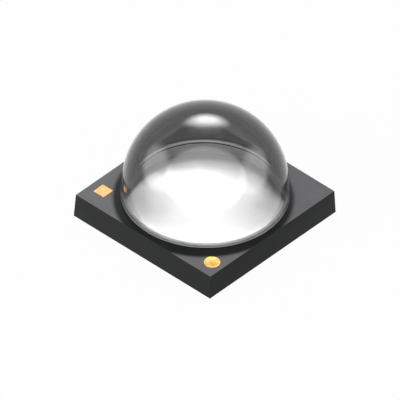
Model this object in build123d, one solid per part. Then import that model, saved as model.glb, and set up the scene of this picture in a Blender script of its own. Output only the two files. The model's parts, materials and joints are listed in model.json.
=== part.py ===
from build123d import *
import math
import os

# UV LED: a black ceramic body with a round pocket, closed by a hollow glass dome.
# Sizes are in millimetres. +Z is up, and the origin is the middle of the plane that the solder pads
# rest on. The body's sides run along X and Y, and the wires run towards -Y.

# Ceramic body, widest at its underside, and thinnest beside the pocket in the middle of each side
body_width = 4.40
body_height = 0.66
body_spread = 0.03
pocket_rim = 0.32
pocket_floor = 0.13

# Metal plugs through the pocket's floor
via_radius = 0.05
via_spacing = 0.30
via_setback = 0.40
vias_in_row = 3

# Solder pads on the underside
solder_thickness = 0.03
solder_length = 3.20
solder_gap = 0.27
solder_corner = 0.06
terminal_width = 0.53
terminal_lap = 0.08

# Gold pads that cover the pocket's floor
gold_thickness = 0.012
gold_inset = 0.16
gold_margin = 0.10
gold_gap = 0.12

# Emitting chip and protection diode
chip_width = 1.10
chip_thickness = 0.10
chip_solder = 0.013
diode_width = 0.26
diode_thickness = 0.09
diode_solder = 0.012
diode_inset = 0.08
diode_offset = 0.42

# Gold wires
wire_diameter = 0.026
wire_sides = 8
wire_rise = 0.07
wire_bend = 0.045
wire_spacing = 0.36
wire_count = 3
ball_diameter = 0.07
ball_height = 0.018
ball_inset = 0.12
stitch_length = 0.09
stitch_width = 0.05
stitch_height = 0.016
stitch_inset = 0.20

# Reflecting lining and silvery fill in the pocket
lining_thickness = 0.02
lining_drop = 0.02
fill_cover = 0.029
fill_climb = 0.015

# Ring under the dome, and the bond that holds it
ring_setback = 0.01
ring_thickness = 0.012
bond_thickness = 0.015
bead_width = 0.02
bead_height = 0.03

# Glass dome
foot_setback = 0.01
foot_wall = 0.135
foot_land = 0.05
foot_flare = 0.01
dome_wall = 0.28
dome_rise = 0.275

# Gold marks on the top face
mark_thickness = 0.015
mark_sink = 0.005
mark_rim = 0.03
square_width = 0.33
square_left = 0.39
square_front = 0.56
round_diameter = 0.40
round_right = 0.34
round_front = 0.43

# Heights, from the underside up
body_bottom = solder_thickness
body_top = body_bottom + body_height
pocket_z = body_bottom + pocket_floor
gold_top = pocket_z + gold_thickness
chip_z = gold_top + chip_solder
chip_top = chip_z + chip_thickness
diode_z = gold_top + diode_solder
diode_top = diode_z + diode_thickness
fill_level = chip_top + wire_rise + wire_diameter / 2 + fill_cover
bond_z = body_top + ring_thickness
foot_z = bond_z + bond_thickness
dome_centre = foot_z + dome_rise

# Radii and widths, from the middle out
pocket_radius = body_width / 2 - pocket_rim
fill_radius = pocket_radius - lining_thickness
gold_radius = fill_radius - gold_inset
foot_inner = pocket_radius + foot_setback
foot_outer = foot_inner + foot_wall
ring_inner = pocket_radius + ring_setback
ring_outer = foot_outer + bead_width
dome_radius = foot_outer - foot_flare
dome_hollow = dome_radius - dome_wall

# Places along Y, measured from the middle: plugs and solder pads, then the split between the gold pads
via_row = pocket_radius - via_setback
terminal_inner = via_row - terminal_lap
terminal_middle = terminal_inner + terminal_width / 2
thermal_width = 2 * (terminal_inner - solder_gap)
cathode_edge = -chip_width / 2 - gold_margin
anode_edge = cathode_edge - gold_gap
diode_x = (wire_count - 1) / 2 * wire_spacing + diode_offset
diode_y = anode_edge - diode_inset - diode_width / 2

# Middles of the marks, measured in from the corners of the top face
square_x = square_left - body_width / 2
square_y = square_front - body_width / 2
round_x = body_width / 2 - round_right
round_y = round_front - body_width / 2


def at_height(z):
    return Plane.XY.offset(z)


def plate(sketch, z, thickness):
    return extrude(at_height(z) * sketch, amount=thickness)


def block(x_side, y_side, z, height, x=0.0, y=0.0):
    return plate(Pos(x, y) * Rectangle(x_side, y_side), z, height)


def disc(radius, z, height, x=0.0, y=0.0):
    return plate(Pos(x, y) * Circle(radius), z, height)


def ring(inner, outer, z, height):
    return plate(Circle(outer) - Circle(inner), z, height)


def via_places(side):
    middle = (vias_in_row - 1) / 2
    return [((i - middle) * via_spacing, side * via_row) for i in range(vias_in_row)]


def via_plugs(side):
    return [disc(via_radius, body_bottom, pocket_floor, x, y) for x, y in via_places(side)]


def ceramic_body():
    # The sides lean out a little towards the underside, as fired and snapped ceramic does.
    lean = math.degrees(math.atan(body_spread / body_height))
    underside = Rectangle(body_width + 2 * body_spread, body_width + 2 * body_spread)
    shell = extrude(at_height(body_bottom) * underside, amount=body_height, taper=lean)
    shell -= disc(pocket_radius, pocket_z, body_height)
    for plug in via_plugs(-1) + via_plugs(1):
        shell -= plug
    return shell


def solder_pad(width, y):
    outline = Pos(0, y) * RectangleRounded(solder_length, width, solder_corner)
    return plate(outline, 0, solder_thickness)


def gold_pad(edge, side):
    # One part of a round sheet of gold, cut straight across at this edge.
    span = 2 * gold_radius
    cut = Pos(0, edge + side * span / 2) * Rectangle(span, span)
    return plate(Circle(gold_radius) & cut, pocket_z, gold_thickness)


def gold_wire(x, ball_y, ball_z, stitch_y, pad_z):
    # From a ball on the chip it rises, bends over and comes down to a flattened stitch on the pad.
    way = math.copysign(1, stitch_y - ball_y)
    half = wire_diameter / 2
    crest = ball_z + wire_rise
    shoulder = ball_y + 0.3 * (stitch_y - ball_y)
    landing = stitch_y - way * stitch_length / 2
    path = FilletPolyline(
        (x, ball_y, ball_z + ball_height / 2),
        (x, ball_y, crest),
        (x, shoulder, crest),
        (x, landing, pad_z + half),
        (x, stitch_y, pad_z + half),
        radius=wire_bend,
    )
    strand = sweep(Plane(origin=path @ 0, z_dir=path % 0) * RegularPolygon(half, wire_sides), path=path)
    ball = disc(ball_diameter / 2, ball_z, ball_height, x, ball_y)
    stitch = plate(Pos(x, stitch_y) * Ellipse(stitch_width / 2, stitch_length / 2), pad_z, stitch_height)
    return strand + ball + stitch


def chip_wire(index):
    x = (index - (wire_count - 1) / 2) * wire_spacing
    return gold_wire(x, ball_inset - chip_width / 2, chip_top, anode_edge - stitch_inset, gold_top)


def diode_wire():
    return gold_wire(diode_x, diode_y, diode_top, cathode_edge + stitch_inset, gold_top)


def sealing_fill(buried):
    # A level fill that climbs a little at the wall and leaves room for every piece buried in it.
    base = Line((0, pocket_z), (fill_radius, pocket_z))
    wall = Line(base @ 1, (fill_radius, fill_level + fill_climb))
    surface = TangentArc((0, fill_level), wall @ 1, tangent=(1, 0))
    axis = Line(surface @ 0, base @ 0)
    fill = revolve(make_face(Plane.XZ * (base + wall + surface + axis)), Axis.Z)
    for piece in buried:
        fill -= piece
    return fill


def dome_bond():
    # Under the foot it is a flat ring, and outside the foot it climbs the glass as a small hollow bead.
    under = Line((foot_inner, bond_z), (ring_outer, bond_z))
    bead = RadiusArc(under @ 1, (foot_outer, foot_z + bead_height), 1.5 * math.hypot(bead_width, bead_height))
    side = Line(bead @ 1, (foot_outer, foot_z))
    top = Line(side @ 1, (foot_inner, foot_z))
    back = Line(top @ 1, under @ 0)
    return revolve(make_face(Plane.XZ * (under + bead + side + top + back)), Axis.Z)


def glass_dome():
    # Outside: a short land, a flare, then a hemisphere. Inside: a smaller hemisphere on the same centre,
    # which runs out tangent into a cone, so the wall is thinnest at the foot.
    foot_angle = math.atan2(foot_z - dome_centre, foot_inner)
    foot_reach = math.hypot(foot_z - dome_centre, foot_inner)
    cone_angle = foot_angle + math.acos(dome_hollow / foot_reach)
    cone_start = (dome_hollow * math.cos(cone_angle), dome_centre + dome_hollow * math.sin(cone_angle))
    crown = dome_centre + dome_radius
    foot = Line((foot_inner, foot_z), (foot_outer, foot_z))
    land = Line(foot @ 1, (foot_outer, foot_z + foot_land))
    flare = TangentArc((dome_radius, dome_centre), land @ 1, tangent=(0, -1))
    outside = CenterArc((0, dome_centre), dome_radius, 0, 90)
    axis = Line((0, crown), (0, crown - dome_wall))
    start = math.degrees(cone_angle)
    inside = CenterArc((0, dome_centre), dome_hollow, start, 90 - start)
    cone = Line(cone_start, foot @ 0)
    return revolve(make_face(Plane.XZ * (foot + land + flare + outside + axis + inside + cone)), Axis.Z)


def square_mark():
    sunk = square_width - 2 * mark_rim
    mark = block(square_width, square_width, body_top, mark_thickness, square_x, square_y)
    return mark - block(sunk, sunk, body_top + mark_thickness - mark_sink, mark_sink, square_x, square_y)


def round_mark():
    sunk = round_diameter / 2 - mark_rim
    mark = disc(round_diameter / 2, body_top, mark_thickness, round_x, round_y)
    return mark - disc(sunk, body_top + mark_thickness - mark_sink, mark_sink, round_x, round_y)


# What the fill buries
buried = {
    "cathode_pad_inner": gold_pad(cathode_edge, 1),
    "anode_pad_inner": gold_pad(anode_edge, -1),
    "die_attach": block(chip_width, chip_width, gold_top, chip_solder),
    "led_die": block(chip_width, chip_width, chip_z, chip_thickness),
    "esd_attach": block(diode_width, diode_width, gold_top, diode_solder, diode_x, diode_y),
    "esd_diode": block(diode_width, diode_width, diode_z, diode_thickness, diode_x, diode_y),
    "esd_wire": diode_wire(),
}
for number in range(wire_count):
    buried[f"bond_wire_{number + 1}"] = chip_wire(number)

# What shows, and what is underneath
shown = {
    "ceramic_body": ceramic_body(),
    "cavity_reflector": ring(fill_radius, pocket_radius, pocket_z, body_top - lining_drop - pocket_z),
    "sealing_fill": sealing_fill(buried.values()),
    "seal_ring": ring(ring_inner, ring_outer, body_top, ring_thickness),
    "dome_bond": dome_bond(),
    "glass_dome": glass_dome(),
    "square_mark": square_mark(),
    "round_mark": round_mark(),
    "anode_vias": Compound(children=via_plugs(-1)),
    "cathode_vias": Compound(children=via_plugs(1)),
    "anode_solder_pad": solder_pad(terminal_width, -terminal_middle),
    "cathode_solder_pad": solder_pad(terminal_width, terminal_middle),
    "thermal_pad": solder_pad(thermal_width, 0),
}

os.makedirs("parts", exist_ok=True)
for name, shape in {**shown, **buried}.items():
    export_step(shape, f"parts/{name}.step")
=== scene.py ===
import json
import math

import bmesh
import bpy
from mathutils import Matrix, Vector


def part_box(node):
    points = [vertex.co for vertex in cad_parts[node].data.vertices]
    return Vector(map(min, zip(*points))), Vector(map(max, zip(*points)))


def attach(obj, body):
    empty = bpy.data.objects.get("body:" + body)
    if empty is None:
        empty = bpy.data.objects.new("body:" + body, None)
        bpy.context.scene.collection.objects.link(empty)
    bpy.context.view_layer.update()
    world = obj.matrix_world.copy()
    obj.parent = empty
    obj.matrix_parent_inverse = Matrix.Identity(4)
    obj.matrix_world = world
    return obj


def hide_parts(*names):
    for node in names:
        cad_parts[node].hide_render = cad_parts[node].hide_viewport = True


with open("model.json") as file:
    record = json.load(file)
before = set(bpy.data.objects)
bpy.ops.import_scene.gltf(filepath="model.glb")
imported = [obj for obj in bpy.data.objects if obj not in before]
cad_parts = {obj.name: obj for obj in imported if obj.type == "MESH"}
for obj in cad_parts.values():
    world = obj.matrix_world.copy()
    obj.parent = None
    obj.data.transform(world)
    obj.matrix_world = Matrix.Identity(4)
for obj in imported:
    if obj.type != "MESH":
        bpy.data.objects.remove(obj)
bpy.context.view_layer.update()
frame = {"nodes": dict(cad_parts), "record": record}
mm = 0.001
print("UV LED: CAD frame loaded")


def linear(hexColour):
    # sRGB hex to the linear numbers that shaders work in
    parts = [int(hexColour[i:i + 2], 16) / 255 for i in (1, 3, 5)]
    return tuple(c / 12.92 if c <= 0.04045 else ((c + 0.055) / 1.055) ** 2.4 for c in parts) + (1.0,)


def addNode(tree, kind, values=None, links=None, **settings):
    # one node with its settings, its own values, and the sockets that feed it
    node = tree.nodes.new(kind)
    for name, value in settings.items():
        setattr(node, name, value)
    for name, value in (values or {}).items():
        node.inputs[name].default_value = value
    for name, source in (links or {}).items():
        tree.links.new(source, node.inputs[name])
    return node


# Camera: a long view from the corner with the round mark, tipped a little to one side

viewing = {
    "turn": 42.0,           # degrees round from -Y towards +X
    "height": 40.38,        # degrees above the horizon
    "tilt": -1.11,          # degrees of roll
    "pixel": 4.40 * mm / 183.30,
    "faceMiddle": (205.15, 192.90),  # where the middle of the top face lands in the 400 x 400 picture
    "distance": 50 * mm,
}


def setCamera(settings, topFace):
    turn, height, tilt = (math.radians(settings[key]) for key in ("turn", "height", "tilt"))
    back = Vector((math.sin(turn) * math.cos(height), -math.cos(turn) * math.cos(height), math.sin(height)))
    right = Vector((math.cos(turn), math.sin(turn), 0))
    up = back.cross(right)
    tiltedRight = right * math.cos(tilt) - up * math.sin(tilt)
    tiltedUp = up * math.cos(tilt) + right * math.sin(tilt)
    shiftX = (settings["faceMiddle"][0] - 200) * settings["pixel"]
    shiftY = (settings["faceMiddle"][1] - 200) * settings["pixel"]
    aim = Vector((0, 0, topFace)) - tiltedRight * shiftX + tiltedUp * shiftY
    lens = bpy.data.cameras.new("viewCamera")
    lens.type = "ORTHO"
    lens.ortho_scale = 400 * settings["pixel"]
    lens.clip_start = 0.1 * mm
    lens.clip_end = 1.0
    camera = bpy.data.objects.new("viewCamera", lens)
    bpy.context.scene.collection.objects.link(camera)
    place = Matrix((tiltedRight, tiltedUp, back)).transposed().to_4x4()
    place.translation = aim + back * settings["distance"]
    camera.matrix_world = place
    bpy.context.scene.camera = camera


bodyLow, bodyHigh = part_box("ceramic_body")
setCamera(viewing, bodyHigh.z)


# Light: an even white world and a soft disc low on the left. The other lamps show only in gloss: the disc behind makes
# the highlight and brightens the fill, and the three sheets lay pale patches on the front and the sides of the dome.

lamps = {  # turn and height in degrees, distance and size in millimetres, and how much of each fades towards its edge
    "leftDisc": {"turn": -20, "height": 22, "distance": 60, "size": (50, 50), "radiance": 6.0, "fade": 1.0, "glossOnly": False},
    "backDisc": {"turn": 222, "height": 44, "distance": 60, "size": (54, 38), "radiance": 17.0, "fade": 1.0, "glossOnly": True},
    "frontSheet": {"turn": 42, "height": 46, "distance": 60, "size": (215, 140), "radiance": 3.9, "fade": 0.25, "glossOnly": True},
    "nearSheet": {"turn": -44, "height": 22, "distance": 60, "size": (92, 56), "radiance": 3.8, "fade": 0.5, "glossOnly": True},
    "farSheet": {"turn": 128, "height": 22, "distance": 60, "size": (92, 56), "radiance": 3.5, "fade": 0.5, "glossOnly": True},
}
worldWhite = {"colour": "#ffffff", "strength": 0.6, "seen": 1.0}  # what lights the object, and what shows


def addLamp(name, settings):
    lamp = bpy.data.lights.new(name, "AREA")
    lamp.shape = "ELLIPSE"
    lamp.size, lamp.size_y = (side * mm for side in settings["size"])
    lamp.energy = settings["radiance"] * math.pi * math.pi * lamp.size / 2 * lamp.size_y / 2
    lamp.use_nodes = True
    tree = lamp.node_tree
    place = addNode(tree, "ShaderNodeNewGeometry").outputs["Parametric"]
    fromMiddle = addNode(tree, "ShaderNodeVectorMath", {1: (0.5, 0.5, 0)}, {0: place}, operation="SUBTRACT")
    reach = addNode(tree, "ShaderNodeVectorMath", links={0: fromMiddle.outputs[0]}, operation="LENGTH")
    glow = addNode(tree, "ShaderNodeMapRange", {"From Min": 0.5, "From Max": 0.5 - 0.5 * settings["fade"]},
                   {"Value": reach.outputs["Value"]}, interpolation_type="SMOOTHSTEP")
    tree.links.new(glow.outputs[0], tree.nodes["Emission"].inputs["Strength"])
    stand = bpy.data.objects.new(name, lamp)
    stand.visible_camera = False
    stand.visible_diffuse = not settings["glossOnly"]
    stand.visible_glossy = settings["glossOnly"]
    bpy.context.scene.collection.objects.link(stand)
    turn, height = math.radians(settings["turn"]), math.radians(settings["height"])
    towards = Vector((math.sin(turn) * math.cos(height), -math.cos(turn) * math.cos(height), math.sin(height)))
    stand.location = towards * settings["distance"] * mm
    stand.rotation_mode = "QUATERNION"
    stand.rotation_quaternion = towards.to_track_quat("Z", "Y")


def whiteSeen(tree):
    # 1 for rays from the camera and for those that a surface mirrors or lets through, and 0 for the rest
    ray = addNode(tree, "ShaderNodeLightPath")
    seen = addNode(tree, "ShaderNodeMath", links={0: ray.outputs["Is Camera Ray"], 1: ray.outputs["Is Glossy Ray"]},
                   operation="MAXIMUM")
    either = addNode(tree, "ShaderNodeMath", links={0: seen.outputs[0], 1: ray.outputs["Is Transmission Ray"]}, operation="MAXIMUM")
    return either.outputs[0]


def makeWorld(settings):
    world = bpy.data.worlds.new("studio")
    bpy.context.scene.world = world
    world.use_nodes = True
    tree = world.node_tree
    strength = addNode(tree, "ShaderNodeMapRange", {"To Min": settings["strength"], "To Max": settings["seen"]},
                       {"Value": whiteSeen(tree)})
    tree.nodes["Background"].inputs["Color"].default_value = linear(settings["colour"])
    tree.links.new(strength.outputs[0], tree.nodes["Background"].inputs["Strength"])


for lampName, lampSettings in lamps.items():
    addLamp(lampName, lampSettings)
makeWorld(worldWhite)
bpy.context.scene.view_settings.view_transform = "Standard"
print("UV LED: camera and lamps set")


# Floor: a wide white dish with a rising rim, a hair below the solder pads

floorDish = {"drop": 0.002 * mm, "flat": 170 * mm, "rim": 30 * mm, "lift": 24 * mm, "steps": 96,
             "dark": "#f0f0f0", "pale": "#f4f4f4", "own": 0.97}


def whitePaper(settings):
    # Matte white paper with a faint grain. It shows as plain white and keeps part of the object's shadow, and it is
    # clear from below, so that the underside can be looked at.
    material = bpy.data.materials.new("whitePaper")
    material.use_nodes = True
    tree = material.node_tree
    tree.nodes.clear()
    share = addNode(tree, "ShaderNodeMath", {1: settings["own"]}, {0: whiteSeen(tree)}, operation="MULTIPLY")
    grain = addNode(tree, "ShaderNodeTexNoise", {"Scale": 900.0, "Detail": 3.0},
                    {"Vector": addNode(tree, "ShaderNodeTexCoord").outputs["Object"]})
    tone = addNode(tree, "ShaderNodeMix", {6: linear(settings["dark"]), 7: linear(settings["pale"])},
                   {0: grain.outputs["Fac"]}, data_type="RGBA")
    paper = addNode(tree, "ShaderNodeBsdfDiffuse", links={"Color": tone.outputs[2]})
    white = addNode(tree, "ShaderNodeEmission", {"Color": (1, 1, 1, 1), "Strength": 1.0})
    above = addNode(tree, "ShaderNodeMixShader", links={0: share.outputs[0], 1: paper.outputs[0], 2: white.outputs[0]})
    below = addNode(tree, "ShaderNodeBsdfTransparent")
    side = addNode(tree, "ShaderNodeNewGeometry")
    both = addNode(tree, "ShaderNodeMixShader", links={0: side.outputs["Backfacing"], 1: above.outputs[0], 2: below.outputs[0]})
    addNode(tree, "ShaderNodeOutputMaterial", links={"Surface": both.outputs[0]})
    return material


def makeFloor(settings):
    shape = bmesh.new()
    turns = settings["steps"]
    path = [(settings["flat"], -settings["drop"])]
    for step in range(1, 9):
        bend = math.radians(80 * step / 8)
        path.append((settings["flat"] + settings["rim"] * math.sin(bend), settings["lift"] * (1 - math.cos(bend))))
    rows = []
    for reach, rise in path:
        angles = [2 * math.pi * i / turns for i in range(turns)]
        rows.append([shape.verts.new((reach * math.cos(angle), reach * math.sin(angle), rise)) for angle in angles])
    shape.faces.new(rows[0])
    for low, high in zip(rows, rows[1:]):
        for i in range(turns):
            shape.faces.new((low[i - 1], low[i], high[i], high[i - 1]))
    mesh = bpy.data.meshes.new("whiteFloor")
    shape.to_mesh(mesh)
    shape.free()
    mesh.materials.append(whitePaper(settings))
    floor = bpy.data.objects.new("whiteFloor", mesh)
    bpy.context.scene.collection.objects.link(floor)


makeFloor(floorDish)
print("UV LED: floor laid")


# Materials, each named for the real one

def startMaterial(name):
    material = bpy.data.materials.new(name)
    material.use_nodes = True
    tree = material.node_tree
    place = addNode(tree, "ShaderNodeTexCoord").outputs["Object"]
    return material, tree, tree.nodes["Principled BSDF"], place


alumina = {
    "fired": ("#282929", "#2f3030"),
    # painted shadow: the dark tone of the soft ring round the dome, which stands in for the dome's shadow on the top
    # face
    "domeShadow": ("#1a1b1b", "#212222"),
    # the top face's pale grey: the haze of lapping, and painted sheen where the top face catches the light
    "lappedAndSheen": ("#767677", "#87868b"),
    "ringRadius": 2.178,  # millimetres, and so are the other lengths in these material dictionaries
    "ringSoft": 0.07,
    # the painted shadow's ring is shifted towards the front
    "ringShift": (0.108, -0.181),
    "grain": 0.035,
    "cloud": 0.9,
}


def blackAlumina(settings):
    # Black alumina, pressed and fired: nearly black and matte. Its top face is painted a much paler grey than its
    # sides, partly the haze of lapping and partly painted sheen, and a soft-edged dark ring round the dome is a painted
    # shadow of the dome, shifted towards the front. The real grain of 2 to 5 microns is drawn ten times as coarse, so
    # that it shows.
    material, tree, shader, place = startMaterial("blackAlumina")
    grain = addNode(tree, "ShaderNodeTexNoise", {"Scale": 1 / (settings["grain"] * mm), "Detail": 3.0}, {"Vector": place})
    cloud = addNode(tree, "ShaderNodeTexNoise", {"Scale": 1 / (settings["cloud"] * mm), "Detail": 2.0}, {"Vector": place})
    tones = {}
    for name, spots in (("fired", grain), ("domeShadow", grain), ("lappedAndSheen", cloud)):
        first, second = settings[name]
        tones[name] = addNode(tree, "ShaderNodeMix", {6: linear(first), 7: linear(second)}, {0: spots.outputs["Fac"]},
                              data_type="RGBA").outputs[2]
    shiftX, shiftY = settings["ringShift"]
    flat = addNode(tree, "ShaderNodeMapping", {"Location": (-shiftX * mm, -shiftY * mm, 0), "Scale": (1, 1, 0)}, {"Vector": place})
    reach = addNode(tree, "ShaderNodeVectorMath", links={0: flat.outputs[0]}, operation="LENGTH")
    inside, outside = settings["ringRadius"] - settings["ringSoft"], settings["ringRadius"] + settings["ringSoft"]
    beyond = addNode(tree, "ShaderNodeMapRange", {"From Min": inside * mm, "From Max": outside * mm},
                     {"Value": reach.outputs["Value"]}, interpolation_type="SMOOTHSTEP")
    facing = addNode(tree, "ShaderNodeSeparateXYZ", links={0: addNode(tree, "ShaderNodeTexCoord").outputs["Normal"]})
    # faces that look up get the pale top tones: lapping haze and painted sheen
    level = addNode(tree, "ShaderNodeMapRange", {"From Min": 0.90, "From Max": 0.99}, {"Value": facing.outputs["Z"]})
    # inside the ring the top face takes the painted shadow of the dome
    top = addNode(tree, "ShaderNodeMix", links={0: beyond.outputs[0], 6: tones["domeShadow"], 7: tones["lappedAndSheen"]}, data_type="RGBA")
    colour = addNode(tree, "ShaderNodeMix", links={0: level.outputs[0], 6: tones["fired"], 7: top.outputs[2]}, data_type="RGBA")
    dull = addNode(tree, "ShaderNodeMapRange", {"To Min": 0.5, "To Max": 0.6}, {"Value": grain.outputs["Fac"]})
    bump = addNode(tree, "ShaderNodeBump", {"Strength": 0.12, "Distance": 0.004 * mm}, {"Height": grain.outputs["Fac"]})
    tree.links.new(colour.outputs[2], shader.inputs["Base Color"])
    tree.links.new(dull.outputs[0], shader.inputs["Roughness"])
    tree.links.new(bump.outputs[0], shader.inputs["Normal"])
    shader.inputs["Specular IOR Level"].default_value = 0.06
    return material


smokyGlass = {"bend": 1.06, "shine": 1.5, "smoke": 3300.0, "waves": 0.7}  # smoke in parts absorbed per metre


def domeGlass(settings):
    # Polished optical glass with a smoke-grey cast: clear in the middle, and darker where the eye looks along the wall.
    # Light passes nearly straight through, so that the pocket's edge shows unbroken, and the coat gives the surface the
    # shine of real glass.
    material, tree, shader, place = startMaterial("domeGlass")
    waves = addNode(tree, "ShaderNodeTexNoise", {"Scale": 1 / (settings["waves"] * mm), "Detail": 1.0}, {"Vector": place})
    polish = addNode(tree, "ShaderNodeMapRange", {"To Min": 0.03, "To Max": 0.04}, {"Value": waves.outputs["Fac"]})
    smoke = addNode(tree, "ShaderNodeVolumeAbsorption", {"Color": (0, 0, 0, 1), "Density": settings["smoke"]})
    shader.inputs["Base Color"].default_value = (1, 1, 1, 1)
    shader.inputs["Transmission Weight"].default_value = 1.0
    shader.inputs["IOR"].default_value = settings["bend"]
    shader.inputs["Coat Weight"].default_value = 1.0
    shader.inputs["Coat IOR"].default_value = settings["shine"]
    tree.links.new(polish.outputs[0], shader.inputs["Roughness"])
    tree.links.new(smoke.outputs[0], tree.nodes["Material Output"].inputs["Volume"])
    return material


pressed = {"pale": "#f0f0f0", "dark": "#4a4c4e", "inside": 1.93, "outside": 2.03}


def sealingGlass(settings):
    # Sealing glass, fired as a paste: satin and finely flecked, pale where it is pressed thin under the foot, and darker
    # grey in the bead that stands out round the foot.
    material, tree, shader, place = startMaterial("sealingGlass")
    flecks = addNode(tree, "ShaderNodeTexNoise", {"Scale": 1 / (0.03 * mm), "Detail": 3.0}, {"Vector": place})
    flat = addNode(tree, "ShaderNodeMapping", {"Scale": (1, 1, 0)}, {"Vector": place})
    reach = addNode(tree, "ShaderNodeVectorMath", links={0: flat.outputs[0]}, operation="LENGTH")
    wander = addNode(tree, "ShaderNodeMath", {1: 0.03 * mm}, {0: flecks.outputs["Fac"]}, operation="MULTIPLY")
    out = addNode(tree, "ShaderNodeMath", links={0: reach.outputs["Value"], 1: wander.outputs[0]}, operation="ADD")
    thick = addNode(tree, "ShaderNodeMapRange", {"From Min": settings["inside"] * mm, "From Max": settings["outside"] * mm},
                    {"Value": out.outputs[0]})
    colour = addNode(tree, "ShaderNodeMix", {6: linear(settings["pale"]), 7: linear(settings["dark"])}, {0: thick.outputs[0]},
                     data_type="RGBA")
    satin = addNode(tree, "ShaderNodeMapRange", {"To Min": 0.28, "To Max": 0.42}, {"Value": flecks.outputs["Fac"]})
    bump = addNode(tree, "ShaderNodeBump", {"Strength": 0.1, "Distance": 0.002 * mm}, {"Height": flecks.outputs["Fac"]})
    tree.links.new(colour.outputs[2], shader.inputs["Base Color"])
    tree.links.new(satin.outputs[0], shader.inputs["Roughness"])
    tree.links.new(bump.outputs[0], shader.inputs["Normal"])
    return material


def silverPlating():
    # Silver plating on fired metal paste: bright and satin, with a fine pebbled surface.
    material, tree, shader, place = startMaterial("silverPlating")
    pebbles = addNode(tree, "ShaderNodeTexNoise", {"Scale": 1 / (0.03 * mm), "Detail": 2.0}, {"Vector": place})
    colour = addNode(tree, "ShaderNodeMix", {6: linear("#d9d9da"), 7: linear("#eeeeee")}, {0: pebbles.outputs["Fac"]}, data_type="RGBA")
    satin = addNode(tree, "ShaderNodeMapRange", {"To Min": 0.42, "To Max": 0.55}, {"Value": pebbles.outputs["Fac"]})
    bump = addNode(tree, "ShaderNodeBump", {"Strength": 0.15, "Distance": 0.002 * mm}, {"Height": pebbles.outputs["Fac"]})
    shader.inputs["Metallic"].default_value = 1.0
    tree.links.new(colour.outputs[2], shader.inputs["Base Color"])
    tree.links.new(satin.outputs[0], shader.inputs["Roughness"])
    tree.links.new(bump.outputs[0], shader.inputs["Normal"])
    return material


# painted shade: the fill greys from a middle shifted towards the front to the wall tone, most of all at the far wall
fillWallShade = {"middle": "#ececec", "wall": "#7e7e80", "clear": 2.25, "reach": 2.85, "shift": (0.64, -0.93)}


def silveryFill(settings):
    # Silvery potting that set level: smooth and bright as satin metal and a little cloudy. Its colour greys from a
    # middle shifted towards the front out to the wall: painted shade of the pocket's wall, most of all along the far
    # wall.
    material, tree, shader, place = startMaterial("silveryFill")
    clouds = addNode(tree, "ShaderNodeTexNoise", {"Scale": 1 / (0.8 * mm), "Detail": 2.0}, {"Vector": place})
    shiftX, shiftY = settings["shift"]
    flat = addNode(tree, "ShaderNodeMapping", {"Location": (-shiftX * mm, -shiftY * mm, 0), "Scale": (1, 1, 0)}, {"Vector": place})
    reach = addNode(tree, "ShaderNodeVectorMath", links={0: flat.outputs[0]}, operation="LENGTH")
    wander = addNode(tree, "ShaderNodeMath", {1: 0.5 * mm}, {0: clouds.outputs["Fac"]}, operation="MULTIPLY")
    out = addNode(tree, "ShaderNodeMath", links={0: reach.outputs["Value"], 1: wander.outputs[0]}, operation="ADD")
    # painted shade of the pocket's wall, strongest along the far wall
    wallShade = addNode(tree, "ShaderNodeMapRange", {"From Min": settings["clear"] * mm, "From Max": settings["reach"] * mm},
                   {"Value": out.outputs[0]}, interpolation_type="SMOOTHSTEP")
    colour = addNode(tree, "ShaderNodeMix", {6: linear(settings["middle"]), 7: linear(settings["wall"])}, {0: wallShade.outputs[0]},
                     data_type="RGBA")
    satin = addNode(tree, "ShaderNodeMapRange", {"To Min": 0.28, "To Max": 0.34}, {"Value": clouds.outputs["Fac"]})
    shader.inputs["Metallic"].default_value = 1.0
    tree.links.new(colour.outputs[2], shader.inputs["Base Color"])
    tree.links.new(satin.outputs[0], shader.inputs["Roughness"])
    return material


gildings = {
    "round": {"pale": "#e4c47b", "deep": "#d8a558", "smudge": "#b37435", "smooth": 0.55, "rough": 0.70},
    # the square mark's gold is a darker, duller copy of the round mark's: painted shade that holds back the brighter
    # light it catches
    "square": {"pale": "#cba77c", "deep": "#c99863", "smudge": "#b1703f", "smooth": 0.8, "rough": 0.9},
}


def goldPlating(name, settings):
    # Gold plated on fired paste: satin and lumpy, so that it goes from pale yellow to a deeper orange in blotches.
    material, tree, shader, place = startMaterial(name)
    blotches = addNode(tree, "ShaderNodeTexNoise", {"Scale": 1 / (0.09 * mm), "Detail": 3.0, "W": 0.0}, {"Vector": place},
                       noise_dimensions="4D")
    lumps = addNode(tree, "ShaderNodeTexNoise", {"Scale": 1 / (0.025 * mm), "Detail": 2.0, "W": 5.0}, {"Vector": place},
                    noise_dimensions="4D")
    edge = addNode(tree, "ShaderNodeMapRange", {"From Min": 0.40, "From Max": 0.62}, {"Value": blotches.outputs["Fac"]})
    spots = addNode(tree, "ShaderNodeMapRange", {"From Min": 0.60, "From Max": 0.72}, {"Value": lumps.outputs["Fac"]})
    ground = addNode(tree, "ShaderNodeMix", {6: linear(settings["pale"]), 7: linear(settings["deep"])}, {0: edge.outputs[0]},
                     data_type="RGBA")
    colour = addNode(tree, "ShaderNodeMix", {7: linear(settings["smudge"])}, {0: spots.outputs[0], 6: ground.outputs[2]},
                     data_type="RGBA")
    satin = addNode(tree, "ShaderNodeMapRange", {"To Min": settings["smooth"], "To Max": settings["rough"]},
                    {"Value": lumps.outputs["Fac"]})
    bump = addNode(tree, "ShaderNodeBump", {"Strength": 0.35, "Distance": 0.004 * mm}, {"Height": lumps.outputs["Fac"]})
    shader.inputs["Metallic"].default_value = 1.0
    tree.links.new(colour.outputs[2], shader.inputs["Base Color"])
    tree.links.new(satin.outputs[0], shader.inputs["Roughness"])
    tree.links.new(bump.outputs[0], shader.inputs["Normal"])
    return material


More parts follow.
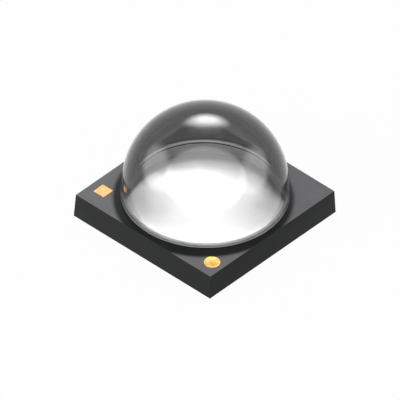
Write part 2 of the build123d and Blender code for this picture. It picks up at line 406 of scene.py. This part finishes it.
def firedCopper():
    # Copper paste fired in its hole: warm, dull and grainy.
    material, tree, shader, place = startMaterial("firedCopper")
    grain = addNode(tree, "ShaderNodeTexNoise", {"Scale": 1 / (0.012 * mm), "Detail": 2.0}, {"Vector": place})
    colour = addNode(tree, "ShaderNodeMix", {6: linear("#9c5f45"), 7: linear("#c98a69")}, {0: grain.outputs["Fac"]}, data_type="RGBA")
    dull = addNode(tree, "ShaderNodeMapRange", {"To Min": 0.40, "To Max": 0.60}, {"Value": grain.outputs["Fac"]})
    shader.inputs["Metallic"].default_value = 1.0
    tree.links.new(colour.outputs[2], shader.inputs["Base Color"])
    tree.links.new(dull.outputs[0], shader.inputs["Roughness"])
    return material


def hardSolder():
    # Hard solder, melted and set under the chips: grey and satin, with a frosted edge.
    material, tree, shader, place = startMaterial("hardSolder")
    frost = addNode(tree, "ShaderNodeTexNoise", {"Scale": 1 / (0.02 * mm), "Detail": 2.0}, {"Vector": place})
    colour = addNode(tree, "ShaderNodeMix", {6: linear("#a5a7a9"), 7: linear("#cfcfcf")}, {0: frost.outputs["Fac"]}, data_type="RGBA")
    satin = addNode(tree, "ShaderNodeMapRange", {"To Min": 0.30, "To Max": 0.45}, {"Value": frost.outputs["Fac"]})
    shader.inputs["Metallic"].default_value = 1.0
    tree.links.new(colour.outputs[2], shader.inputs["Base Color"])
    tree.links.new(satin.outputs[0], shader.inputs["Roughness"])
    return material


def emitterChip():
    # The chip's crystal, sawn and polished: dark blue-grey glassy faces with faint saw lines.
    material, tree, shader, place = startMaterial("emitterChip")
    stretched = addNode(tree, "ShaderNodeMapping", {"Scale": (1, 1, 12)}, {"Vector": place})
    lines = addNode(tree, "ShaderNodeTexNoise", {"Scale": 1 / (0.05 * mm), "Detail": 1.0}, {"Vector": stretched.outputs[0]})
    colour = addNode(tree, "ShaderNodeMix", {6: linear("#3b4254"), 7: linear("#545d72")}, {0: lines.outputs["Fac"]}, data_type="RGBA")
    polish = addNode(tree, "ShaderNodeMapRange", {"To Min": 0.08, "To Max": 0.22}, {"Value": lines.outputs["Fac"]})
    shader.inputs["IOR"].default_value = 1.76
    tree.links.new(colour.outputs[2], shader.inputs["Base Color"])
    tree.links.new(polish.outputs[0], shader.inputs["Roughness"])
    return material


def sawnSilicon():
    # Sawn silicon: steel grey, with a polished top and rough sawn sides.
    material, tree, shader, place = startMaterial("sawnSilicon")
    saw = addNode(tree, "ShaderNodeTexNoise", {"Scale": 1 / (0.015 * mm), "Detail": 2.0}, {"Vector": place})
    colour = addNode(tree, "ShaderNodeMix", {6: linear("#4d4f55"), 7: linear("#6b6d74")}, {0: saw.outputs["Fac"]}, data_type="RGBA")
    polish = addNode(tree, "ShaderNodeMapRange", {"To Min": 0.15, "To Max": 0.40}, {"Value": saw.outputs["Fac"]})
    shader.inputs["IOR"].default_value = 1.9
    tree.links.new(colour.outputs[2], shader.inputs["Base Color"])
    tree.links.new(polish.outputs[0], shader.inputs["Roughness"])
    return material


def sealNickel():
    # Nickel-plated sealing ring, fired on: grey, dull and finely speckled.
    material, tree, shader, place = startMaterial("sealNickel")
    specks = addNode(tree, "ShaderNodeTexNoise", {"Scale": 1 / (0.02 * mm), "Detail": 3.0}, {"Vector": place})
    colour = addNode(tree, "ShaderNodeMix", {6: linear("#6a6b6c"), 7: linear("#8c8d8e")}, {0: specks.outputs["Fac"]}, data_type="RGBA")
    dull = addNode(tree, "ShaderNodeMapRange", {"To Min": 0.40, "To Max": 0.55}, {"Value": specks.outputs["Fac"]})
    shader.inputs["Metallic"].default_value = 1.0
    tree.links.new(colour.outputs[2], shader.inputs["Base Color"])
    tree.links.new(dull.outputs[0], shader.inputs["Roughness"])
    return material


finishes = {
    "black_ceramic": blackAlumina(alumina),
    "dome_glass": domeGlass(smokyGlass),
    "bond_glass": sealingGlass(pressed),
    "bright_lining": silverPlating(),
    "sealing_nickel": sealNickel(),
    "silvery_fill": silveryFill(fillWallShade),
    "gold": goldPlating("goldPlating", gildings["round"]),
    "copper": firedCopper(),
    "solder": hardSolder(),
    "emitter_chip": emitterChip(),
    "silicon": sawnSilicon(),
}
# painted shade: the same gold plating, darkened for the square mark because it catches brighter light
squareGold = goldPlating("goldPlatingShadedCopy", gildings["square"])
print("UV LED: materials mixed")


# Shapes: small trees that turn a profile, a row or a path into a finished piece

def startTree(name, inputs):
    # a geometry tree with these named inputs, as (name, socket kind)
    tree = bpy.data.node_groups.new(name, "GeometryNodeTree")
    tree.interface.new_socket("Shape", in_out="INPUT", socket_type="NodeSocketGeometry")
    for label, kind in inputs:
        tree.interface.new_socket(label, in_out="INPUT", socket_type=kind)
    tree.interface.new_socket("Shape", in_out="OUTPUT", socket_type="NodeSocketGeometry")
    return tree, addNode(tree, "NodeGroupInput")


def endTree(tree, given, shape):
    whole = addNode(tree, "GeometryNodeRealizeInstances", links={0: shape})
    dressed = addNode(tree, "GeometryNodeSetMaterial", links={0: whole.outputs[0], "Material": given.outputs["Finish"]})
    addNode(tree, "NodeGroupOutput", links={0: dressed.outputs[0]})
    return tree


def turnedTree():
    # sweeps a profile, drawn as radius and height, once round a circle
    tree, given = startTree("turnedProfile", [("Steps", "NodeSocketInt"), ("Guide Radius", "NodeSocketFloat"),
                                              ("Finish", "NodeSocketMaterial")])
    where = addNode(tree, "ShaderNodeSeparateXYZ", links={0: addNode(tree, "GeometryNodeInputPosition").outputs[0]})
    inward = addNode(tree, "ShaderNodeMath", links={0: where.outputs["X"], 1: given.outputs["Guide Radius"]}, operation="SUBTRACT")
    down = addNode(tree, "ShaderNodeMath", {1: -1.0}, {0: where.outputs["Z"]}, operation="MULTIPLY")
    flat = addNode(tree, "ShaderNodeCombineXYZ", links={"X": inward.outputs[0], "Y": down.outputs[0]})
    laid = addNode(tree, "GeometryNodeSetPosition", links={0: given.outputs["Shape"], "Position": flat.outputs[0]})
    profile = addNode(tree, "GeometryNodeMeshToCurve", links={0: laid.outputs[0]})
    guide = addNode(tree, "GeometryNodeCurvePrimitiveCircle",
                    links={"Resolution": given.outputs["Steps"], "Radius": given.outputs["Guide Radius"]}, mode="RADIUS")
    upright = addNode(tree, "GeometryNodeSetCurveNormal", links={0: guide.outputs[0]}, mode="Z_UP")
    swept = addNode(tree, "GeometryNodeCurveToMesh", links={0: upright.outputs[0], 1: profile.outputs[0]})
    closed = addNode(tree, "GeometryNodeMergeByDistance", {"Distance": 0.00005 * mm}, {0: swept.outputs[0]})
    return endTree(tree, given, closed.outputs[0])


turned = turnedTree()


def lineMesh(name, points):
    # a chain of edges through these points, in millimetres
    mesh = bpy.data.meshes.new(name)
    places = [tuple(value * mm for value in point) for point in points]
    mesh.from_pydata(places, [(i, i + 1) for i in range(len(points) - 1)], [])
    return mesh


def runTree(name, mesh, tree, values):
    # applies the tree to this mesh, and gives back a plain mesh
    piece = bpy.data.objects.new(name, mesh)
    bpy.context.scene.collection.objects.link(piece)
    step = piece.modifiers.new("shape", "NODES")
    step.node_group = tree
    for socket in tree.interface.items_tree:
        if socket.in_out == "INPUT" and socket.name in values:
            step[socket.identifier] = values[socket.name]
    made = bpy.data.meshes.new_from_object(piece.evaluated_get(bpy.context.evaluated_depsgraph_get()))
    piece.modifiers.remove(step)
    piece.data = made
    made.name = name
    return piece


def finishPiece(piece, node, slot, sharp=30):
    # faces outward, smooth but for its corners, riding on the body in the place of its CAD node
    shape = bmesh.new()
    shape.from_mesh(piece.data)
    bmesh.ops.recalc_face_normals(shape, faces=shape.faces)
    shape.to_mesh(piece.data)
    shape.free()
    piece.data.shade_smooth()
    piece.data.set_sharp_from_angle(angle=math.radians(sharp))
    if not piece.data.materials:
        piece.data.materials.append(finishes[slot])
    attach(piece, "root")
    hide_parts(node)
    return piece


def turnPiece(name, node, slot, profile, steps=160, sharp=30):
    values = {"Steps": steps, "Guide Radius": 1 * mm, "Finish": finishes[slot]}
    piece = runTree(name, lineMesh(name, [(reach, 0.0, rise) for reach, rise in profile]), turned, values)
    return finishPiece(piece, node, slot, sharp)


def arc(middle, radius, start, end, steps):
    # points on a circle in the profile, from one angle to the other, in degrees
    return [(middle[0] + radius * math.cos(math.radians(start + (end - start) * i / steps)),
             middle[1] + radius * math.sin(math.radians(start + (end - start) * i / steps))) for i in range(steps + 1)]


# Glass dome

dome = {
    "outer": 2.015,      # radius of the outer hemisphere
    "wall": 0.28,
    "rise": 0.275,       # from the foot to the hemisphere's middle
    "footInner": 1.89,
    "footLand": 0.05,
    "edge": 0.006,       # rounding of the ground edges of the foot
    "fineness": 72,
}


def domeProfile(settings, low, high):
    # inside: a hemisphere that runs out tangent into a cone. Outside: the foot's land, its flare, then a hemisphere.
    foot, footOuter = low.z / mm, high.x / mm
    centre = foot + settings["rise"]
    hollow, footInner = settings["outer"] - settings["wall"], settings["footInner"]
    start = math.atan2(foot - centre, footInner) + math.acos(hollow / math.hypot(foot - centre, footInner))
    inside = arc((0, centre), hollow, 90, math.degrees(start), settings["fineness"])
    spreadOut, fall = footOuter - settings["outer"], settings["rise"] - settings["footLand"]
    bend = (spreadOut ** 2 + fall ** 2) / (2 * spreadOut)
    flareEnd = 180 + math.degrees(math.asin(fall / bend))
    flare = arc((settings["outer"] + bend, centre), bend, flareEnd, 180, 14)
    outside = arc((0, centre), settings["outer"], 0, 90, settings["fineness"])
    edge = settings["edge"]
    ground = [(footInner, foot + edge), (footInner + edge, foot), (footOuter - edge, foot), (footOuter, foot + edge)]
    profile = inside + ground + flare[:-1] + outside
    profile[0] = (0.0, centre + hollow)
    profile[-1] = (0.0, centre + settings["outer"])
    return profile


turnPiece("glassDome", "glass_dome", "dome_glass", domeProfile(dome, *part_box("glass_dome")), 224, 24)
print("UV LED: dome turned")


# Ring, bond, lining and fill: turned pieces between the dome and the body

bond = {"inner": 1.89, "outer": 2.037, "foot": 2.025, "thickness": 0.015, "bead": 0.03, "hollow": 1.5, "grip": 0.004}
ring = {"edge": 0.003}
lining = {"edge": 0.004}
fill = {"climb": 0.015, "fineness": 40}


def bondProfile(settings, low, high):
    # a flat ring under the foot, and a hollow bead that climbs the glass outside it
    base, reach, top = low.z / mm, settings["outer"], high.z / mm
    chord = math.hypot(reach - settings["foot"], top - base)
    radius = settings["hollow"] * math.hypot(reach - settings["foot"], settings["bead"])
    middle = ((reach + settings["foot"]) / 2, (base + top) / 2)
    along = ((settings["foot"] - reach) / chord, (top - base) / chord)
    away = math.sqrt(radius ** 2 - (chord / 2) ** 2)
    centre = (middle[0] + along[1] * away, middle[1] - along[0] * away)
    start = math.degrees(math.atan2(base - centre[1], reach - centre[0]))
    end = math.degrees(math.atan2(top - centre[1], settings["foot"] - centre[0]))
    bead = arc(centre, radius, start % 360, end % 360, 10)
    wet = base + settings["thickness"] + settings["grip"]  # it grips the glass a little, so that no face lies on another
    inner, glass = settings["inner"], settings["foot"] - settings["grip"]
    return [(inner, base)] + bead[:-1] + [(glass, top), (glass, wet), (inner, wet), (inner, base)]


def bandProfile(inner, outer, base, top, edge):
    # a plain band with its four edges broken
    return [(inner + edge, base), (outer - edge, base), (outer, base + edge), (outer, top - edge),
            (outer - edge, top), (inner + edge, top), (inner, top - edge), (inner, base + edge), (inner + edge, base)]


def fillProfile(settings, low, high):
    # a level surface, hollow by the height that it climbs at the wall
    reach, base, rim = high.x / mm, low.z / mm, high.z / mm
    climb = settings["climb"]
    radius = (reach ** 2 + climb ** 2) / (2 * climb)
    surface = []
    for step in range(settings["fineness"] + 1):
        out = reach * step / settings["fineness"]
        surface.append((out, rim - climb + radius - math.sqrt(radius ** 2 - out ** 2)))
    return surface + [(reach, base), (0.0, base)]


ringLow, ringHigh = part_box("seal_ring")
liningLow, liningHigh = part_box("cavity_reflector")
fillLow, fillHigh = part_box("sealing_fill")
turnPiece("domeBond", "dome_bond", "bond_glass", bondProfile(bond, *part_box("dome_bond")), 192)
turnPiece("sealRing", "seal_ring", "sealing_nickel",
          bandProfile(bond["inner"], bond["outer"], ringLow.z / mm, ringHigh.z / mm, ring["edge"]), 192)
turnPiece("pocketLining", "cavity_reflector", "bright_lining",
          bandProfile(fillHigh.x / mm, liningHigh.x / mm, liningLow.z / mm, liningHigh.z / mm, lining["edge"]), 192)
turnPiece("silveryFill", "sealing_fill", "silvery_fill", fillProfile(fill, fillLow, fillHigh), 192)
print("UV LED: ring, bond, lining and fill turned")


# Ceramic body, with its pocket and the holes for the plugs

block = {"spread": 0.03, "edge": 0.012, "pocketFloor": 0.13}
plugs = {"count": 3, "spacing": 0.30, "radius": 0.05, "sides": 32}


def pegRowTree():
    # a row of round pegs along X, which makes the plugs, their holes and the pocket
    tree, given = startTree("pegRow", [("Count", "NodeSocketInt"), ("Spacing", "NodeSocketFloat"), ("Row", "NodeSocketFloat"),
                                       ("Radius", "NodeSocketFloat"), ("Low", "NodeSocketFloat"), ("High", "NodeSocketFloat"),
                                       ("Sides", "NodeSocketInt"), ("Finish", "NodeSocketMaterial")])
    gaps = addNode(tree, "ShaderNodeMath", {1: 1.0}, {0: given.outputs["Count"]}, operation="SUBTRACT")
    length = addNode(tree, "ShaderNodeMath", links={0: gaps.outputs[0], 1: given.outputs["Spacing"]}, operation="MULTIPLY")
    start = addNode(tree, "ShaderNodeMath", {1: -0.5}, {0: length.outputs[0]}, operation="MULTIPLY")
    height = addNode(tree, "ShaderNodeMath", links={0: given.outputs["High"], 1: given.outputs["Low"]}, operation="SUBTRACT")
    middle = addNode(tree, "ShaderNodeMath", {1: 0.5}, {0: height.outputs[0]}, operation="MULTIPLY")
    centre = addNode(tree, "ShaderNodeMath", links={0: middle.outputs[0], 1: given.outputs["Low"]}, operation="ADD")
    first = addNode(tree, "ShaderNodeCombineXYZ", links={"X": start.outputs[0], "Y": given.outputs["Row"], "Z": centre.outputs[0]})
    step = addNode(tree, "ShaderNodeCombineXYZ", links={"X": given.outputs["Spacing"]})
    row = addNode(tree, "GeometryNodeMeshLine", links={"Count": given.outputs["Count"], "Start Location": first.outputs[0],
                                                       "Offset": step.outputs[0]}, mode="OFFSET")
    peg = addNode(tree, "GeometryNodeMeshCylinder", links={"Vertices": given.outputs["Sides"], "Radius": given.outputs["Radius"],
                                                           "Depth": height.outputs[0]})
    pegs = addNode(tree, "GeometryNodeInstanceOnPoints", links={"Points": row.outputs[0], "Instance": peg.outputs[0]})
    return endTree(tree, given, pegs.outputs[0])


pegRow = pegRowTree()


def drilledTree():
    # cuts the pocket and two rows of peg holes out of the shape
    sockets = [("Pocket Radius", "NodeSocketFloat"), ("Pocket Low", "NodeSocketFloat"), ("Above", "NodeSocketFloat"),
               ("Count", "NodeSocketInt"), ("Spacing", "NodeSocketFloat"), ("Row", "NodeSocketFloat"),
               ("Radius", "NodeSocketFloat"), ("Below", "NodeSocketFloat"), ("Sides", "NodeSocketInt"),
               ("Finish", "NodeSocketMaterial")]
    tree, given = startTree("drilledBlock", sockets)
    pocket = addNode(tree, "GeometryNodeGroup", node_tree=pegRow, values={"Count": 1, "Sides": 192},
                     links={"Radius": given.outputs["Pocket Radius"], "Low": given.outputs["Pocket Low"],
                            "High": given.outputs["Above"]})
    holes = []
    for side in (-1.0, 1.0):
        row = addNode(tree, "ShaderNodeMath", {1: side}, {0: given.outputs["Row"]}, operation="MULTIPLY")
        holes.append(addNode(tree, "GeometryNodeGroup", links={
            "Count": given.outputs["Count"], "Spacing": given.outputs["Spacing"], "Row": row.outputs[0],
            "Radius": given.outputs["Radius"], "Low": given.outputs["Below"], "High": given.outputs["Above"],
            "Sides": given.outputs["Sides"]}, node_tree=pegRow))
    cut = addNode(tree, "GeometryNodeMeshBoolean", {"Self Intersection": True},
                  {0: given.outputs["Shape"], 1: pocket.outputs[0]}, operation="DIFFERENCE", solver="EXACT")
    for row in holes:
        tree.links.new(row.outputs[0], cut.inputs[1])
    return endTree(tree, given, cut.outputs[0])


def makeBody(settings, low, high):
    shape = bmesh.new()
    points = []
    for reach, z in ((high.x, low.z), (high.x - settings["spread"] * mm, high.z)):
        points += [shape.verts.new((x * reach, y * reach, z)) for x, y in ((-1, -1), (1, -1), (1, 1), (-1, 1))]
    for face in ((0, 3, 2, 1), (4, 5, 6, 7), (0, 1, 5, 4), (1, 2, 6, 5), (2, 3, 7, 6), (3, 0, 4, 7)):
        shape.faces.new([points[i] for i in face])
    bmesh.ops.bevel(shape, geom=shape.edges[:], offset=settings["edge"] * mm, segments=3, profile=0.5, affect="EDGES")
    mesh = bpy.data.meshes.new("ceramicBody")
    shape.to_mesh(mesh)
    shape.free()
    plugLow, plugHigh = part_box("cathode_vias")
    values = {"Pocket Radius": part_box("cavity_reflector")[1].x, "Pocket Low": low.z + settings["pocketFloor"] * mm,
              "Above": high.z + 1 * mm, "Below": low.z - 1 * mm, "Count": plugs["count"], "Spacing": plugs["spacing"] * mm,
              "Row": (plugLow.y + plugHigh.y) / 2, "Radius": plugs["radius"] * mm, "Sides": plugs["sides"],
              "Finish": finishes["black_ceramic"]}
    finishPiece(runTree("ceramicBody", mesh, drilledTree(), values), "ceramic_body", "black_ceramic", 20)


def makePlugs(settings, node, name):
    low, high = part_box(node)
    values = {"Count": settings["count"], "Spacing": settings["spacing"] * mm, "Row": (low.y + high.y) / 2,
              "Radius": settings["radius"] * mm, "Low": low.z, "High": high.z, "Sides": settings["sides"],
              "Finish": finishes["copper"]}
    finishPiece(runTree(name, bpy.data.meshes.new(name), pegRow, values), node, "copper")


makeBody(block, bodyLow, bodyHigh)
makePlugs(plugs, "anode_vias", "anodePlugs")
makePlugs(plugs, "cathode_vias", "cathodePlugs")
print("UV LED: body cut and plugged")


# Solder pads and gold marks: thin plates with rounded edges

solderPads = {"corner": 0.06, "edge": 0.006}
squareMark = {"corner": 0.012, "rim": 0.034, "sink": 0.005, "edge": 0.004}
roundMark = {"rim": 0.034, "sink": 0.005, "edge": 0.004}


def roundedOutline(low, high, corner, inset, steps=6):
    points = []
    radius = max(corner - inset, 0.001)
    for x, y, start in ((high.x, high.y, 0), (low.x, high.y, 90), (low.x, low.y, 180), (high.x, low.y, 270)):
        x, y = x / mm, y / mm
        signX = 1 if start in (0, 270) else -1
        signY = 1 if start in (0, 90) else -1
        centre = (x - signX * (inset + radius), y - signY * (inset + radius))
        points += arc(centre, radius, start, start + 90, steps)
    return points


def makePlate(name, node, slot, corner, levels, finish=None):
    # rings of the outline at these (inset, height) levels, closed at both ends
    low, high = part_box(node)
    shape = bmesh.new()
    rings = []
    for inset, height in levels:
        outline = roundedOutline(low, high, corner, inset)
        rings.append([shape.verts.new((x * mm, y * mm, height * mm)) for x, y in outline])
    for first, second in zip(rings, rings[1:]):
        for i in range(len(first)):
            shape.faces.new((first[i - 1], first[i], second[i], second[i - 1]))
    shape.faces.new(rings[0])
    shape.faces.new(rings[-1])
    mesh = bpy.data.meshes.new(name)
    shape.to_mesh(mesh)
    shape.free()
    mesh.materials.append(finish or finishes[slot])
    piece = bpy.data.objects.new(name, mesh)
    bpy.context.scene.collection.objects.link(piece)
    finishPiece(piece, node, slot, 50)


def rimmedLevels(settings, base, top):
    # up the side, over the raised rim, and down to the sunk middle
    edge, rim, sink = settings["edge"], settings["rim"], settings["sink"]
    side = [(0.0, base), (0.0, top - edge), (0.3 * edge, top - 0.3 * edge), (edge, top)]
    return side + [(0.6 * rim, top), (rim, top - 0.6 * sink), (rim + edge, top - sink)]


for padName in ("anode_solder_pad", "cathode_solder_pad", "thermal_pad"):
    padLow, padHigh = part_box(padName)
    edge, bottom, top = solderPads["edge"], padLow.z / mm, padHigh.z / mm
    levels = [(edge, bottom), (0.3 * edge, bottom + 0.3 * edge), (0.0, bottom + edge), (0.0, top)]
    makePlate("goldPad." + padName.split("_")[0], padName, "gold", solderPads["corner"], levels)
squareLow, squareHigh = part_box("square_mark")
squareLevels = rimmedLevels(squareMark, squareLow.z / mm, squareHigh.z / mm)
makePlate("squareMark", "square_mark", "gold", squareMark["corner"], squareLevels, squareGold)
roundLow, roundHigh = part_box("round_mark")
roundLevels = rimmedLevels(roundMark, roundLow.z / mm, roundHigh.z / mm)
makePlate("roundMark", "round_mark", "gold", (roundHigh.x - roundLow.x) / 2 / mm, roundLevels)
print("UV LED: pads and marks laid")


# Gold wires, buried in the fill

wires = {"diameter": 0.026, "rise": 0.07, "bend": 0.045, "ballDiameter": 0.07, "ballHeight": 0.018,
         "stitchLength": 0.09, "stitchWidth": 0.05, "stitchHeight": 0.016, "shoulder": 0.3}


def wireTree():
    # a round wire along the drawn path, with a ball where it starts and a flattened stitch where it ends
    tree, given = startTree("bentWire", [("Wire Radius", "NodeSocketFloat"), ("Bend", "NodeSocketFloat"),
                                         ("Ball", "NodeSocketVector"), ("Ball Place", "NodeSocketVector"),
                                         ("Stitch", "NodeSocketVector"), ("Stitch Place", "NodeSocketVector"),
                                         ("Finish", "NodeSocketMaterial")])
    path = addNode(tree, "GeometryNodeMeshToCurve", links={0: given.outputs["Shape"]})
    bent = addNode(tree, "GeometryNodeFilletCurve", {"Count": 8, "Limit Radius": True},
                   {"Curve": path.outputs[0], "Radius": given.outputs["Bend"]}, mode="POLY")
    section = addNode(tree, "GeometryNodeCurvePrimitiveCircle", {"Resolution": 14}, {"Radius": given.outputs["Wire Radius"]},
                      mode="RADIUS")
    strand = addNode(tree, "GeometryNodeCurveToMesh", {"Fill Caps": True}, {0: bent.outputs[0], 1: section.outputs[0]})
    knob = addNode(tree, "GeometryNodeMeshUVSphere", {"Segments": 20, "Rings": 12, "Radius": 0.5})
    ball = addNode(tree, "GeometryNodeTransform", links={0: knob.outputs[0], "Scale": given.outputs["Ball"],
                                                         "Translation": given.outputs["Ball Place"]})
    stitch = addNode(tree, "GeometryNodeTransform", links={0: knob.outputs[0], "Scale": given.outputs["Stitch"],
                                                           "Translation": given.outputs["Stitch Place"]})
    joined = addNode(tree, "GeometryNodeJoinGeometry", links={0: strand.outputs[0]})
    tree.links.new(ball.outputs[0], joined.inputs[0])
    tree.links.new(stitch.outputs[0], joined.inputs[0])
    return endTree(tree, given, joined.outputs[0])


bentWire = wireTree()


def makeWire(settings, name, node, chipTop, forward):
    # the CAD box of the wire gives its two ends: the ball stands on the chip, the stitch lies on the pad
    low, high = (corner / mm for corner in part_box(node))
    x, half = (low.x + high.x) / 2, settings["diameter"] / 2
    ballY = low.y + settings["ballDiameter"] / 2 if forward > 0 else high.y - settings["ballDiameter"] / 2
    stitchY = high.y - settings["stitchLength"] / 2 if forward > 0 else low.y + settings["stitchLength"] / 2
    crest, padTop = chipTop + settings["rise"], low.z
    shoulder = ballY + settings["shoulder"] * (stitchY - ballY)
    points = [(x, ballY, chipTop + settings["ballHeight"] / 2), (x, ballY, crest), (x, shoulder, crest),
              (x, stitchY - forward * settings["stitchLength"] / 2, padTop + half), (x, stitchY, padTop + half)]
    values = {"Wire Radius": half * mm, "Bend": settings["bend"] * mm,
              "Ball": [value * mm for value in (settings["ballDiameter"], settings["ballDiameter"], settings["ballHeight"])],
              "Ball Place": [value * mm for value in (x, ballY, chipTop + settings["ballHeight"] / 2)],
              "Stitch": [value * mm for value in (settings["stitchWidth"], settings["stitchLength"], settings["stitchHeight"])],
              "Stitch Place": [value * mm for value in (x, stitchY, padTop + settings["stitchHeight"] / 2)],
              "Finish": finishes["gold"]}
    finishPiece(runTree(name, lineMesh(name, points), bentWire, values), node, "gold", 60)


dieTop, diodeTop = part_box("led_die")[1].z / mm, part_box("esd_diode")[1].z / mm
for number in (1, 2, 3):
    makeWire(wires, f"chipWire.{number}", f"bond_wire_{number}", dieTop, -1)
makeWire(wires, "diodeWire", "esd_wire", diodeTop, 1)
print("UV LED: wires bent")


# CAD nodes that stay as they are: the chips and the layers under them

for part in frame["record"]["subparts"]:
    for place in frame["nodes"][part["node"]].material_slots:
        place.material = finishes[part["material_slot"]]
print("UV LED: remaining CAD nodes dressed")
